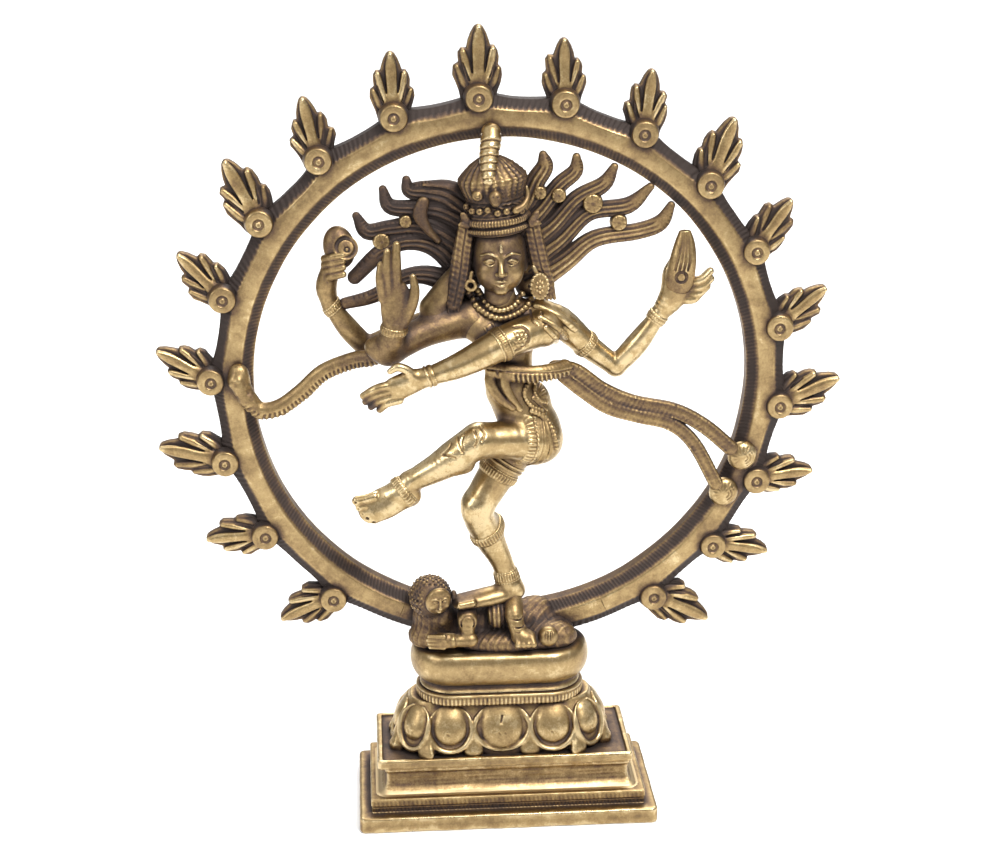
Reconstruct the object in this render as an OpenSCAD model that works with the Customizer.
// Dancing figure in a ring of flames, cast brass, built from separately made pieces.
// Millimetres, +Z up, +Y to the back, origin in the middle of the pedestal's underside.

/* [Pedestal] */
// Width of the bottom step, left to right
step_w = 90; // [86:1:94]
// Depth of the bottom step, front to back
step_d = 44; // [42:1:46]
// Height of the bottom step
step_h = 5; // [4:0.5:6]
// Height of the ribbed band on the step
band_h = 4.5; // [3.5:0.5:5.5]
// Height of the recessed middle block
block_h = 8.5; // [7:0.5:10]
// Thickness of the slab that closes the pedestal
slab_h = 3; // [2.5:0.5:4]
// Thickness of the cast walls round the hollow
wall = 3.5; // [3:0.25:4]

/* [Lotus seat] */
// Width of the petal skirt at its foot
lotus_w = 69; // [66:1:72]
// Depth of the petal skirt at its foot
lotus_d = 30; // [29:0.5:31]
// Height of the petal skirt
lotus_h = 15; // [13:0.5:17]
// Width of the milled collar on the skirt
collar_w = 51; // [49:1:53]
// Depth of the milled collar
collar_d = 23; // [22:0.5:24]
// Height of the milled collar
collar_h = 3.5; // [3:0.5:4.5]
// Width of the cushion that the figure stands on
cushion_w = 54; // [53:0.5:56]
// Depth of the cushion
cushion_d = 26; // [25:0.5:28]
// Height of the cushion with its neck
cushion_h = 13.5; // [12:0.5:15]

/* [Flame ring] */
// Radius of the middle of the ring's band
ring_r = 78; // [77.5:0.25:78.5]
// Width of the ring's band
ring_w = 12.5; // [12:0.5:13]
// Thickness of the ring, front to back
ring_t = 8; // [7:0.5:9]
// Height of the ring's centre over the cushion
ring_rise = 81.5; // [81:0.25:82]
// Radius of the disc at the root of each flame
boss_r = 4; // [3.5:0.25:4.5]
// Radius of the circle that the discs stand on
boss_run = 82.75; // [82.5:0.25:83]
// Thickness of a flame
flame_t = 3.5; // [2.5:0.25:4.5]
// Length of a flame from the middle of its disc
flame_size = 17.5; // [15:0.5:19]
// How much longer every third flame is
flame_extra = 2; // [0:0.5:3]
// How far a flame leans towards the top, in degrees
flame_lean = 29; // [15:1:35]

/* [Hidden] */
// Smoothness of true curves, of cast limbs and of small cast pieces
$fn = 72;
limb_fn = 14;
bead_fn = 12;
eps = 0.01;

// Colours
polished_brass = [0.76, 0.61, 0.34];
worn_brass = [0.62, 0.48, 0.26];
dark_brass = [0.42, 0.32, 0.20];

// Pedestal levels
band_z = step_h;
block_z = band_z + band_h;
slab_z = block_z + block_h;
seat_z = slab_z + slab_h;
collar_z = seat_z + lotus_h;
cushion_z = collar_z + collar_h;
top_z = cushion_z + cushion_h;
band_w = step_w - 7;
band_d = step_d - 7;
block_w = step_w - 17;
block_d = step_d - 17;
slab_w = step_w - 13;
slab_d = step_d - 12;
corner_r = 1.5;

// The upper castings sit a little left of the pedestal's middle
seat_x = -1.5;

// Flames, clockwise from the lower left. Angles are degrees from straight up.
// They are evenly spaced, but for a drift that is widest on the left.
flame_count = 18;
flame_first = -143;
flame_step = 17;
flame_drift = 4;
lean_soft = 25;
function flame_at(i) =
    flame_first + flame_step * i + flame_drift * sin(180 * sqrt(i / (flame_count - 1)));
// The lean fades out close to the top
function flame_way(i) =
    let (turn = flame_at(i) / lean_soft) flame_at(i) - flame_lean * turn / sqrt(1 + turn * turn);
function flame_len(i) = flame_size + (i % 3 == 2 ? flame_extra : 0);
flame_names = [for (i = [1:flame_count]) str("flame_", i < 10 ? "0" : "", i)];

// Ring: half the open angle at the bottom, where its two feet take over
ring_y = 3;
ring_x = 0.9;
// Middle of the circle of discs, a little off the ring's own middle
boss_x = 0.3;
boss_rise = 81;
foot_angle = 23;
ring_in = ring_r - ring_w / 2;
ring_out = ring_r + ring_w / 2;
ring_front = ring_y - ring_t / 2;

// Figure: places are measured from the middle of the cushion's top face, x, y, z
head_at = [0, -6, 118.5];
crown_tilt = [-2.4, -6, 142];
torso_pts = [[0, -5, 106], [2, -5, 97], [2.6, -5, 88], [3, -5, 81], [6.5, -4.5, 75], [8.5, -4.5, 68.5]];
torso_radii = [5, 8.5, 7.8, 6.8, 8.2, 8];
shoulder_pts = [[-9, -3.5, 102], [11.5, -3.5, 101.5]];
shoulder_r = 4.6;
neck_top = [-0.3, -5, 112];
neck_r = 4;
pointing_arm_pts = [[12, -7, 99], [5, -12, 98], [-1, -15, 97], [-12, -17, 91.5], [-20.5, -18, 89]];
pointing_arm_radii = [5, 4.9, 4.5, 3.6, 2.5];
pointing_hand_pts = [[-20.5, -18, 89], [-25, -18, 87.5], [-31, -18, 85], [-38.5, -18.5, 82]];
pointing_hand_radii = [2.5, 3.6, 3.8, 1.7];
pointing_thumb_pts = [[-27, -18.5, 88.5], [-31, -19, 91]];
fire_arm_pts = [[11.5, -3.5, 101.5], [17, -3, 101], [26, -1, 91.5], [34.5, 0, 84.8], [40.5, -1, 92.5], [46, -2, 100.5]];
fire_arm_radii = [4.6, 4.6, 3.6, 3.1, 3.2, 2.4];
fire_hand_pts = [[46, -2, 100.5], [49.5, -3, 106.5], [51, -3, 112.5]];
fire_hand_radii = [2.4, 4, 3.9];
fire_thumb_pts = [[51.5, -3, 107], [57.5, -2.5, 109.5], [61, -2, 113]];
drum_arm_pts = [[-9, -3.5, 103], [-22, -1, 99.5], [-33.5, 1, 92], [-38, 0, 96.5], [-47.5, -1, 105.5]];
drum_arm_radii = [4.6, 3.6, 3.3, 3.2, 2.4];
drum_hand_pts = [[-47.5, -1, 105.5], [-48.5, -1.5, 110], [-47.5, -2, 115], [-44.5, -2, 119]];
drum_hand_radii = [2.4, 2.9, 2.7, 2];
drum_at = [-44.6, -3, 125.5];
blessing_arm_pts = [[-9.5, -5, 102], [-22, -8, 99], [-32, -11, 94], [-31, -14, 97], [-29.6, -15, 101.5]];
blessing_arm_radii = [4.4, 4.2, 4.6, 3.8, 2.8];
blessing_palm_pts = [[-29.6, -15, 101.5], [-29.5, -15, 108.5], [-30.3, -15, 114]];
blessing_palm_radii = [2.8, 3, 2.9];
blessing_tips = [[-28.4, -15, 126], [-31, -15, 123.5], [-33, -15, 119.5]];
blessing_thumb_pts = [[-28, -15.5, 107], [-24.5, -16, 112], [-24, -15.5, 117]];
raised_leg_pts = [
    [11.5, -7, 65], [2.6, -12, 67.5], [-6.5, -15, 68.5], [-11, -15, 65.2], [-18, -14.5, 61], [-26, -14, 57]];
raised_leg_radii = [7.6, 5.6, 5.1, 4.8, 4.1, 3];
raised_foot_heel = [-30, -14, 53.5];
raised_foot_toes = [[-42, -15, 51.5], [-36.2, -15, 46.2]];
raised_foot_radii = [3.6, 1.7];
standing_leg_pts = [
    [3.5, -4, 62], [-1, -5, 54.5], [-6.3, -6.3, 46], [-6, -6, 42], [-2.8, -3.5, 34.3], [0.8, -3, 26], [2.5, -3, 20]];
standing_leg_radii = [6.5, 5.6, 4.7, 4.3, 4.2, 3.2, 3.6];
standing_foot_pts = [[4.5, -3, 16], [-3, -5, 15.6], [-11, -7, 15.3]];
standing_foot_radii = [3, 2.7, 2];

// Ribbons of the sash and the snake that brace the figure to the ring
upper_tail_pts = [[20, -4, 84], [30, -3.2, 77.5], [39, -3.2, 74], [51, -3.2, 71.5], [60, -3.2, 66.6], [68, -3.6, 60]];
lower_tail_pts = [[25, -4.5, 77], [36, -3.4, 69.7], [45, -3.4, 66.7], [53, -3.4, 64], [59, -3.4, 57.6], [64.4, -3.8, 48.7]];
tail_r = 2;
rosette_at = [[72, ring_front, 57.2], [66.8, ring_front, 46]];
rosette_r = 4.3;
snake_pts = [
    [-34, -8, 91], [-40.5, -6, 90.5], [-50, -5, 87], [-56.5, -4, 81], [-62.6, -4, 76.4], [-68.3, -3.6, 76], [-72, -3.6, 79]];
snake_r = 2.4;
joint_blob_at = [-74.5, -2, 84.5];
joint_blob_r = 3.1;

// Hair: locks that fan out behind the head, each a chain of places and radii
right_locks = [
    [[6, 1, 131], [10.5, 1, 137.7], [13.2, 1, 147]],
    [[6, 1, 128], [16.5, 1, 136], [22.5, 1, 146]],
    [[7, 1, 123], [26.5, 1, 133.4], [33.3, 1, 143]],
    [[8, 1, 118.5], [30, 1, 126.5], [42.7, 1, 137.5]],
    [[8, 1, 112], [27.6, 1, 122.6], [40, 1, 123.8], [49, 1, 132]]];
left_locks = [
    [[-6, 1, 133], [-17, 1, 137], [-25.2, 1, 140.2]],
    [[-6, 1, 126], [-22, 1, 132], [-31.6, 1, 138]],
    [[-6, 1, 118], [-22, 1, 124.5], [-33, 1, 126], [-39, 1, 130.8]],
    [[-8, 1, 108], [-27.5, 1, 118], [-36, 0, 117.5], [-43, -1, 112.5]]];
lock_radii = [3.4, 2.2, 1.4, 1.2];
flower_at = [[12.2, 137.7], [17.6, 136], [26.9, 133.4], [34, 128], [-26, 133.3], [-33, 125.4]];
flower_r = 2.3;
drape_left_pts = [[-9, -4.5, 127], [-11.5, -4.5, 118], [-13, -4.5, 106]];
drape_right_pts = [[8.5, -4.5, 127], [11.5, -4.5, 118], [14.5, -4.5, 110]];

// Dwarf under the standing foot
dwarf_body_pts = [[-16, -1, 5.2], [-4, 0, 6.8], [8, 0, 5.6], [15, 0, 4.2]];
dwarf_body_radii = [5.2, 6.4, 5.6, 4.2];
dwarf_head_at = [-20, -6.5, 17.8];
dwarf_head_r = 6.6;
dwarf_arm_pts = [[-14, -6, 8], [-10, -9, 9.5], [-12, -10.2, 5]];
dwarf_hand_pts = [[-11, -10.6, 4.4], [-20.5, -10.6, 4.6]];
dwarf_leg_pts = [[3, -4, 11], [5, -8.5, 10.5], [6.5, -10, 4.6]];
dwarf_foot_pts = [[7, -10, 3], [13.5, -10, 2.6]];

// ---- helpers ----------------------------------------------------------------

// Moves a piece from the cushion's top face to its place on the pedestal
module seated() {
    translate([seat_x, 0, top_z]) children();
}

// Turns the union of its children into one closed casting
module cast_in_one() {
    resize([0, 0, 0]) union() children();
}

// A rounded bar through the points, as thick at each point as its radius says
module limb(pts, radii, fn = limb_fn) {
    for (i = [0:len(pts) - 2])
        hull() {
            translate(pts[i]) sphere(radii[i], $fn = fn);
            translate(pts[i + 1]) sphere(radii[i + 1], $fn = fn);
        }
}

// A ribbon of even thickness through the points
module ribbon(pts, r) {
    limb(pts, [for (p = pts) r], bead_fn);
}

// A ring of metal round a limb, at a point and square to a direction
module band(at, way, r, w, t) {
    turn = atan2(way[1], way[0]);
    tilt = acos(way[2] / norm(way));
    translate(at) rotate([0, tilt, turn]) difference() {
        cylinder(h = w, r = r + t, center = true, $fn = 24);
        cylinder(h = w + 1, r = r - t, center = true, $fn = 24);
    }
}

module rounded_plate(w, d, h, r) {
    linear_extrude(h) {
        square([w - 2 * r, d], center = true);
        square([w, d - 2 * r], center = true);
        for (sx = [-1, 1], sy = [-1, 1])
            translate([sx * (w / 2 - r), sy * (d / 2 - r)]) circle(r);
    }
}

// The hollow under the pedestal, open at the bottom
module pedestal_hollow() {
    w = block_w - 2 * wall;
    d = block_d - 2 * wall;
    translate([-w / 2, -d / 2, -eps]) cube([w, d, slab_z + eps]);
}

module oval_plate(w, d, h) {
    linear_extrude(h) {
        square([w - d, d], center = true);
        for (s = [-1, 1]) translate([s * (w - d) / 2, 0]) circle(d / 2);
    }
}

// A profile of [distance out, height] points carried round an oval of straight length run
module oval_sweep(run, profile) {
    mirrored = concat(profile, [for (i = [len(profile) - 1:-1:0]) [-profile[i][0], profile[i][1]]]);
    translate([-run / 2, 0, 0]) rotate([90, 0, 90]) linear_extrude(run) polygon(mirrored);
    for (s = [0, 1])
        mirror([s, 0, 0]) translate([run / 2, 0, 0]) rotate([0, 0, -90])
            rotate_extrude(angle = 180) polygon(concat([[0, profile[0][1]]], profile,
                [[0, profile[len(profile) - 1][1]]]));
}

// ---- pedestal ---------------------------------------------------------------

module bottom_step() {
    color(polished_brass) difference() {
        rounded_plate(step_w, step_d, step_h, corner_r);
        pedestal_hollow();
    }
}

module ribbed_band() {
    groove = 0.6;
    color(worn_brass) difference() {
        translate([0, 0, band_z]) rounded_plate(band_w, band_d, band_h, corner_r / 2);
        pedestal_hollow();
        translate([0, 0, band_z + band_h * 0.35]) difference() {
            rounded_plate(band_w + 2, band_d + 2, groove, corner_r);
            translate([0, 0, -eps])
                rounded_plate(band_w - 2 * groove, band_d - 2 * groove, groove + 2 * eps, corner_r / 2);
        }
    }
}

module middle_block() {
    color(dark_brass) difference() {
        translate([0, 0, block_z]) rounded_plate(block_w, block_d, block_h, corner_r / 2);
        pedestal_hollow();
    }
}

module top_slab() {
    rim = 1.6;
    sunk = 0.6;
    color(polished_brass) translate([seat_x / 2, 0, slab_z]) difference() {
        rounded_plate(slab_w, slab_d, slab_h, corner_r / 2);
        translate([seat_x / 2, 0, slab_h - sunk]) difference() {
            rounded_plate(slab_w - 2 * rim, slab_d - 2 * rim, slab_h, corner_r / 2);
            translate([0, 0, -1]) oval_plate(lotus_w, slab_d - 2 * rim - eps, slab_h + 1);
        }
    }
}

// ---- lotus seat -------------------------------------------------------------

// One petal: a tongue lying on the flank of the skirt, its tip at the foot
module petal(w) {
    hull() {
        translate([0, 0, 1.6]) scale([w / 2, 1.8, 1.6]) sphere(1, $fn = bead_fn);
        translate([0, 3, 7]) scale([w / 2, 1.6, 4]) sphere(1, $fn = bead_fn);
        translate([0, 4.4, lotus_h - 3]) scale([w / 3, 1.2, 2]) sphere(1, $fn = bead_fn);
    }
}

module lotus_skirt() {
    run = lotus_w - lotus_d;
    petal_w = 11.5;
    straight_petals = 5;
    step = run / (straight_petals - 1);
    color(worn_brass) translate([seat_x, 0, seat_z]) resize([0, 0, 0]) intersection() {
        union() {
            hull() {
                oval_plate(lotus_w - 6, lotus_d - 6, 0.1);
                translate([0, 0, lotus_h - 0.1]) oval_plate(collar_w - 1, collar_d - 1, 0.1);
            }
            for (turn = [0, 180], i = [0:straight_petals - 1])
                rotate([0, 0, turn]) translate([-run / 2 + i * step, -lotus_d / 2 + 1.8, 0]) petal(petal_w);
            for (s = [-1, 1], a = [-45, 0, 45])
                translate([s * run / 2, 0, 0]) rotate([0, 0, s * (90 + a * s)])
                    translate([0, -lotus_d / 2 + 1.8, 0]) petal(petal_w);
        }
        translate([-lotus_w, -lotus_d / 2, 0]) cube([2 * lotus_w, lotus_d, lotus_h]);
    }
}

module milled_collar() {
    color(polished_brass) translate([seat_x, 0, collar_z])
        oval_sweep(collar_w - collar_d, [
            [collar_d / 2 - 0.6, 0], [collar_d / 2, 0.6],
            [collar_d / 2, collar_h - 0.6], [collar_d / 2 - 0.6, collar_h]]);
}

module cushion() {
    neck_h = cushion_h / 3;
    r = cushion_d / 2;
    bulge_h = cushion_h - neck_h;
    color(polished_brass) translate([seat_x, 0, cushion_z])
        oval_sweep(cushion_w - cushion_d, [
            [r - 2.8, 0], [r - 3, neck_h * 0.5], [r - 2, neck_h],
            [r - 0.6, neck_h + bulge_h * 0.2], [r, neck_h + bulge_h * 0.45],
            [r, neck_h + bulge_h * 0.65], [r - 0.6, neck_h + bulge_h * 0.88], [r - 1.8, cushion_h]]);
}

// ---- dwarf ------------------------------------------------------------------

module dwarf_body_shape() {
    difference() {
        union() {
            limb(dwarf_body_pts, dwarf_body_radii);
            translate([-18.5, -3, 10]) sphere(5.4, $fn = limb_fn);
            for (x = [-3.6, -1.6, 0.4])
                translate([x, -5.4, 6.5]) rotate([12, 0, 0]) cylinder(h = 6.5, r = 1.1, center = true, $fn = bead_fn);
        }
        translate([-40, -20, -20]) cube([80, 40, 20]);
    }
}

module dwarf_body() {
    color(dark_brass) seated() cast_in_one() difference() {
        dwarf_body_shape();
        ring_feet_shape();
        standing_leg_shape();
    }
}

module dwarf_head() {
    color(worn_brass) seated() cast_in_one() difference() {
        union() {
            translate(dwarf_head_at) scale([1, 0.95, 1.05]) sphere(dwarf_head_r, $fn = 24);
            translate(dwarf_head_at + [1.6, -3.2, -0.6]) scale([0.66, 0.66, 0.9]) sphere(dwarf_head_r, $fn = 24);
        }
        dwarf_body_shape();
        ring_feet_shape();
        standing_leg_shape();
    }
}

module dwarf_limbs() {
    color(worn_brass) seated() cast_in_one() difference() {
        union() {
            limb(dwarf_arm_pts, [2.6, 2.8, 2.2], bead_fn);
            limb(dwarf_hand_pts, [1.9, 1.7], bead_fn);
            limb(dwarf_leg_pts, [2.8, 2.8, 2.6], bead_fn);
            limb(dwarf_foot_pts, [2.6, 2.2], bead_fn);
        }
        dwarf_body_shape();
        dwarf_head();
        standing_leg_shape();
        translate([-40, -20, -20]) cube([80, 40, 20]);
    }
}

// ---- flame ring -------------------------------------------------------------

// The ring's section as [distance from centre, towards the front]
ring_profile = [
    [ring_in, 1.2], [ring_in + 3.4, ring_t / 2], [ring_out - 2.7, ring_t / 2], [ring_out, 1.2],
    [ring_out, -ring_t / 2 + 1], [ring_out - 1, -ring_t / 2], [ring_in + 1, -ring_t / 2], [ring_in, -ring_t / 2 + 1]];

module ring_arc(angle) {
    translate([ring_x, ring_y, ring_rise]) rotate([90, 0, 0])
        rotate([0, 0, 90 - angle / 2]) rotate_extrude(angle = angle, $fn = 144) polygon(ring_profile);
}

module flame_ring() {
    color(polished_brass) seated() ring_arc(360 - 2 * foot_angle);
}

// Where the band ends, at the ring's inner and outer edge
function foot_point(r) = [r * sin(foot_angle), ring_rise - r * cos(foot_angle)];

// One foot: carries the band on and down to the cushion, with a tenon let into it
module ring_foot_shape() {
    inner = foot_point(ring_in);
    outer = foot_point(ring_out);
    translate([0, ring_y + ring_t / 2, 0]) rotate([90, 0, 0])
        linear_extrude(ring_t) polygon([inner, outer, [outer[0] - 10, 0], [13, 0], [18, 9]]);
}

module ring_feet_shape() {
    translate([ring_x, 0, 0]) {
        ring_foot_shape();
        mirror([1, 0, 0]) ring_foot_shape();
    }
}

module ring_feet() {
    color(worn_brass) seated() ring_feet_shape();
}

function boss_place(i) = [
    boss_x + boss_run * sin(flame_at(i)),
    boss_rise + boss_run * cos(flame_at(i))];

module boss_shape(i, extra = 0) {
    place = boss_place(i);
    back = 2.4;
    front = 1.4;
    translate([place[0], ring_front + back + extra, place[1]]) rotate([90, 0, 0])
        cylinder(h = back + front + 2 * extra, r = boss_r);
}

module flame_bosses() {
    color(polished_brass) seated() difference() {
        for (i = [0:flame_count - 1]) boss_shape(i);
        ring_arc(360 - 2 * foot_angle);
    }
}

// Outline of a flame for its right half: five leaves, the tallest in the middle
flame_half = [
    [0.16, 0.02], [0.26, 0.12], [0.34, 0.28], [0.35, 0.45], [0.27, 0.49],
    [0.28, 0.60], [0.25, 0.70], [0.15, 0.70], [0.13, 0.82], [0.07, 0.93]];

module flame_shape(i) {
    place = boss_place(i);
    size = flame_len(i);
    half = [for (p = flame_half) [p[0] * size * 0.86, p[1] * size]];
    other = [for (k = [len(half) - 1:-1:0]) [-half[k][0], half[k][1]]];
    translate([place[0], ring_y + flame_t / 2, place[1]]) rotate([0, flame_way(i), 0]) rotate([90, 0, 0])
        linear_extrude(flame_t) polygon(concat(half, [[0, size]], other));
}

module flame(i) {
    color(worn_brass) seated() difference() {
        flame_shape(i);
        boss_shape(i, 1);
        ring_arc(360 - 2 * foot_angle);
    }
}

// ---- figure -----------------------------------------------------------------

module torso_shape() {
    limb(torso_pts, torso_radii);
    limb(shoulder_pts, [shoulder_r, shoulder_r]);
    limb([torso_pts[0], neck_top], [neck_r + 0.6, neck_r]);
}

module torso() {
    color(polished_brass) seated() cast_in_one() difference() {
        torso_shape();
        raised_leg_shape();
        standing_leg_shape();
        pointing_arm_shape();
    }
}

module head_shape() {
    translate(head_at) scale([0.8, 0.82, 1.08]) sphere(9.6, $fn = 28);
}

module head() {
    color(polished_brass) seated() cast_in_one() difference() {
        union() {
            head_shape();
            translate(head_at + [0, -7.6, -1]) scale([0.7, 0.9, 1.7]) sphere(1.6, $fn = bead_fn);
        }
        torso_shape();
        crown_shape();
    }
}

module crown_shape() {
    hull() {
        translate(head_at + [0, 0, 7]) cylinder(h = 4, r = 8.4, $fn = 28);
        translate(crown_tilt + [0, 0, -3]) cylinder(h = 4, r = 9.2, $fn = 28);
        translate(crown_tilt + [0, 0, 5]) cylinder(h = 1, r = 4, $fn = 28);
    }
}

module crown() {
    color(worn_brass) seated() cast_in_one() crown_shape();
}

module crown_finial() {
    color(polished_brass) seated() cast_in_one() difference() {
        limb([[-3, -9.5, 143.5], [-2.6, -6, 149], [-2, -3.4, 154.6]], [2.6, 2.7, 2.7]);
        crown_shape();
        ring_arc(360 - 2 * foot_angle);
    }
}

module side_locks() {
    color(dark_brass) seated() cast_in_one() difference() {
        union() {
            limb(drape_left_pts, [1.8, 2.4, 1.8], bead_fn);
            limb(drape_right_pts, [1.8, 2.4, 1.8], bead_fn);
        }
        head_shape();
        crown_shape();
        torso_shape();
        hair_fan_right_shape();
        hair_fan_left_shape();
    }
}

module hair_fan_shape(locks) {
    for (lock = locks)
        limb(lock, [for (k = [0:len(lock) - 1]) lock_radii[k]], bead_fn);
}

module hair_fan_left_shape() {
    hair_fan_shape(left_locks);
    hull() for (p = [[-8, 1, 133], [-17, 1, 137], [-21, 1, 133], [-8, 1, 114]])
        translate(p) sphere(2, $fn = bead_fn);
}

module hair_fan_right_shape() {
    hair_fan_shape(right_locks);
}

module hair_fan_left() {
    color(dark_brass) seated() cast_in_one() difference() {
        hair_fan_left_shape();
        head_shape();
        crown_shape();
        drum_arm_shape();
        drum_hand_shape();
    }
}

module hair_fan_right() {
    color(dark_brass) seated() cast_in_one() difference() {
        hair_fan_right_shape();
        head_shape();
        crown_shape();
        torso_shape();
    }
}

module hair_flowers() {
    color(worn_brass) seated() cast_in_one() difference() {
        for (p = flower_at)
            translate([p[0], 1, p[1]]) rotate([90, 0, 0]) cylinder(h = 3.6, r = flower_r, $fn = 20);
        hair_fan_left_shape();
        hair_fan_right_shape();
    }
}

// ---- arms -------------------------------------------------------------------

module drum_arm_shape() {
    limb(drum_arm_pts, drum_arm_radii);
}

module drum_hand_shape() {
    limb(drum_hand_pts, drum_hand_radii);
}

module drum_arm() {
    color(worn_brass) seated() cast_in_one() difference() {
        union() {
            drum_arm_shape();
            drum_hand_shape();
        }
        torso_shape();
        blessing_arm_shape();
    }
}

module drum() {
    color(worn_brass) seated() cast_in_one() difference() {
        translate(drum_at) rotate([0, 25, 20]) {
            translate([0, 0, -5.6]) cylinder(h = 5.6, r1 = 4.6, r2 = 3.4, $fn = 24);
            cylinder(h = 5.6, r1 = 3.4, r2 = 4.6, $fn = 24);
        }
        drum_hand_shape();
    }
}

module blessing_arm_shape() {
    limb(blessing_arm_pts, blessing_arm_radii);
}

module blessing_arm() {
    color(worn_brass) seated() cast_in_one() difference() {
        blessing_arm_shape();
        torso_shape();
    }
}

module blessing_hand() {
    color(worn_brass) seated() cast_in_one() difference() {
        union() {
            limb(blessing_palm_pts, blessing_palm_radii);
            for (tip = blessing_tips)
                limb([blessing_palm_pts[2], tip], [1.8, 1.1], bead_fn);
            limb(blessing_thumb_pts, [1.6, 1.4, 1], bead_fn);
        }
        blessing_arm_shape();
    }
}

module pointing_arm_shape() {
    limb(pointing_arm_pts, pointing_arm_radii);
}

module pointing_arm() {
    color(polished_brass) seated() cast_in_one() pointing_arm_shape();
}

module pointing_hand() {
    color(polished_brass) seated() cast_in_one() difference() {
        union() {
            limb(pointing_hand_pts, pointing_hand_radii);
            limb(pointing_thumb_pts, [1.6, 1.2], bead_fn);
        }
        pointing_arm_shape();
    }
}

module fire_arm_shape() {
    limb(fire_arm_pts, fire_arm_radii);
}

module fire_arm() {
    color(polished_brass) seated() cast_in_one() difference() {
        fire_arm_shape();
        torso_shape();
        pointing_arm_shape();
    }
}

module fire_hand_shape() {
    limb(fire_hand_pts, fire_hand_radii);
    limb(fire_thumb_pts, [3, 2.4, 1.2], bead_fn);
}

module fire_hand() {
    color(polished_brass) seated() cast_in_one() difference() {
        fire_hand_shape();
        fire_arm_shape();
    }
}

module hand_flame() {
    color(worn_brass) seated() cast_in_one() difference() {
        for (dx = [-1.6, 0, 1.6])
            limb([[51.5, -5, 112], [52.3 + dx, -4.6, 119], [52.6 + dx * 0.8, -4, 125]], [2, 1.8, 0.9], bead_fn);
        fire_hand_shape();
    }
}

// ---- legs -------------------------------------------------------------------

module raised_leg_shape() {
    limb(raised_leg_pts, raised_leg_radii);
}

module raised_leg() {
    color(polished_brass) seated() cast_in_one() raised_leg_shape();
}

module raised_foot() {
    color(polished_brass) seated() cast_in_one() difference() {
        hull() {
            translate(raised_foot_heel) sphere(raised_foot_radii[0], $fn = limb_fn);
            for (toe = raised_foot_toes) translate(toe) sphere(raised_foot_radii[1], $fn = limb_fn);
        }
        raised_leg_shape();
    }
}

module standing_leg_shape() {
    limb(standing_leg_pts, standing_leg_radii);
    limb(standing_foot_pts, standing_foot_radii);
}

module standing_leg() {
    color(polished_brass) seated() cast_in_one() difference() {
        standing_leg_shape();
        raised_leg_shape();
    }
}

// ---- sash, snake and ornaments ----------------------------------------------

module snake_sash() {
    color(worn_brass) seated() cast_in_one() difference() {
        union() {
            ribbon(snake_pts, snake_r);
            hull() {
                translate(snake_pts[6]) sphere(snake_r, $fn = bead_fn);
                translate(joint_blob_at) sphere(joint_blob_r, $fn = limb_fn);
            }
        }
        blessing_arm_shape();
        drum_arm_shape();
        ring_arc(360 - 2 * foot_angle);
    }
}

module waist_sash_shape() {
    limb([[-1.5, -11, 89], [8, -11.5, 86], [18, -7.5, 84.5]], [1.6, 2.6, 2.4], bead_fn);
    limb([[2, -12, 88], [-0.5, -12.4, 79]], [1.8, 1.6], bead_fn);
}

module sash_tails() {
    color(worn_brass) seated() cast_in_one() difference() {
        union() {
            ribbon(upper_tail_pts, tail_r);
            ribbon(lower_tail_pts, tail_r);
        }
        for (at = rosette_at) rosette_shape(at);
        ring_arc(360 - 2 * foot_angle);
        waist_sash_shape();
        torso_shape();
    }
}

module rosette_shape(at) {
    translate(at) rotate([90, 0, 0]) cylinder(h = 3.6, r1 = rosette_r, r2 = rosette_r - 1, $fn = 28);
}

module sash_rosettes() {
    color(polished_brass) seated() for (at = rosette_at) rosette_shape(at);
}

module waist_sash() {
    color(worn_brass) seated() cast_in_one() difference() {
        waist_sash_shape();
        torso_shape();
        pointing_arm_shape();
        raised_leg_shape();
    }
}

module necklace() {
    bead_r = 1;
    color(worn_brass) seated() cast_in_one() difference() {
        limb([[-7, -6, 108.5], [-5.5, -10.6, 105.8], [-0.5, -12.6, 103.6], [5, -11, 105], [7.4, -6, 107.6]],
            [bead_r, bead_r, bead_r, bead_r, bead_r], bead_fn);
        torso_shape();
        pointing_arm_shape();
    }
}

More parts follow.
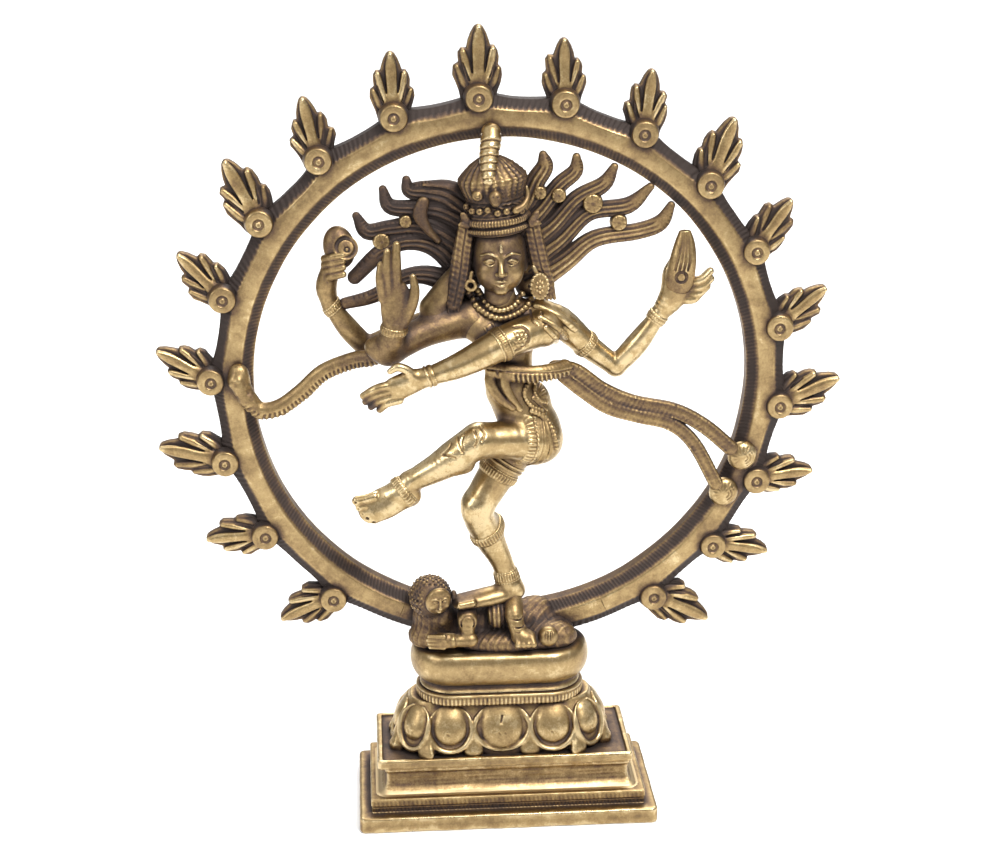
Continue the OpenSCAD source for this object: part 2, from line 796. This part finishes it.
module earrings() {
    color(worn_brass) seated() cast_in_one() difference() {
        union() {
            translate([10.8, -7.4, 111.8]) scale([2.6, 1.1, 4]) sphere(1, $fn = 20);
            translate([-8.4, -7.4, 112.2]) scale([1.8, 1.1, 2.4]) sphere(1, $fn = 20);
        }
        head_shape();
        torso_shape();
        limb(drape_left_pts, [1.8, 2.4, 1.8], bead_fn);
        limb(drape_right_pts, [1.8, 2.4, 1.8], bead_fn);
    }
}

module arm_bands() {
    color(worn_brass) seated() {
        band([-1, -15, 97], [-11, -2, -5.5], 4.3, 3, 0.5);
        band([-19.5, -17.9, 89.3], [-8.5, -1, -2.5], 2.6, 2, 0.5);
        band([26, -1, 91.5], [9, 1.5, -8], 3.5, 2.6, 0.5);
        band([45.2, -1.9, 99.4], [5.5, -1, 8], 2.5, 2.2, 0.5);
        band([-46.6, -0.9, 104.7], [-9.5, -1, 9], 2.5, 2, 0.5);
        band([-29.8, -14.9, 101], [1.4, -1, 4.5], 2.9, 2, 0.5);
    }
}

module leg_bands() {
    color(worn_brass) seated() {
        band([4, -11.3, 67.2], [9, 5, -2.5], 5.7, 3, 0.5);
        band([-25, -14, 57.5], [-8, 0, -4], 3.1, 2, 0.5);
        band([-0.5, -5, 55], [7.5, 1, 6.5], 5.8, 2.6, 0.5);
        band([-3, -3.6, 34.8], [3.4, 2.4, -8], 4.2, 3, 0.5);
        band([2.3, -3, 21], [1.7, 0, -6], 3.5, 2.6, 0.5);
    }
}

// ---- what is drawn ----------------------------------------------------------

bottom_step();
ribbed_band();
middle_block();
top_slab();
lotus_skirt();
milled_collar();
cushion();
dwarf_body();
dwarf_head();
dwarf_limbs();
flame_ring();
ring_feet();
flame_bosses();
for (i = [0:flame_count - 1])
    flame(i);
torso();
head();
crown();
crown_finial();
side_locks();
hair_fan_left();
hair_fan_right();
hair_flowers();
drum_arm();
drum();
blessing_arm();
blessing_hand();
pointing_arm();
pointing_hand();
fire_arm();
fire_hand();
hand_flame();
raised_leg();
raised_foot();
standing_leg();
snake_sash();
sash_tails();
sash_rosettes();
necklace();
earrings();
waist_sash();
arm_bands();
leg_bands();
